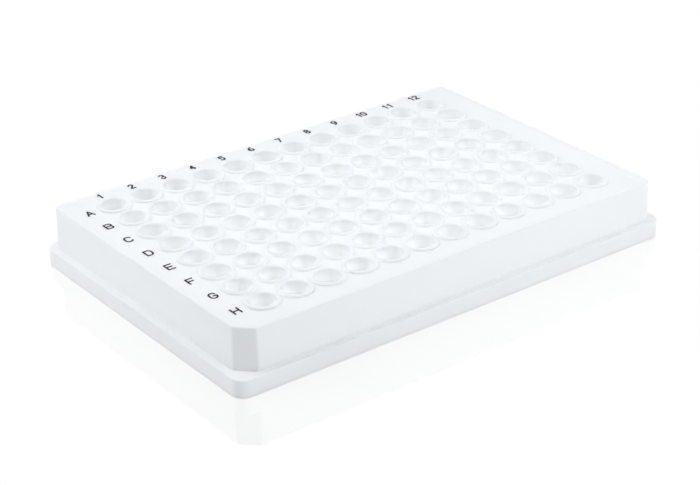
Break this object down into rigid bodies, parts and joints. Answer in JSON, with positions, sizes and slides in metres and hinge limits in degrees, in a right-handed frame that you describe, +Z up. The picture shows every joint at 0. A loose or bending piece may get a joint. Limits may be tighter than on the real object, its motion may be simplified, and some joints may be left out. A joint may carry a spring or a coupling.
{
  "type": "well plate",
  "caption": "White full-skirt well plate moulded in one piece, with conical tubes in a grid, raised rims, one cut corner and printed rows and columns.",
  "frame": {"origin": "middle of the footprint, on the surface that the plate stands on", "axes": "+X along the long side from the first column to the last, +Y from the last row to the first, +Z up out of the wells"},
  "size_m": [0.1278, 0.0854, 0.0155],
  "materials": {
    "white_plastic": "smooth moulded polypropylene, white, with a soft sheen",
    "black_ink": "matt printed ink"
  },
  "bodies": {
    "root": {"plate": "white_plastic", "row_letters": "black_ink", "column_numbers": "black_ink"}
  },
  "joints": []
}
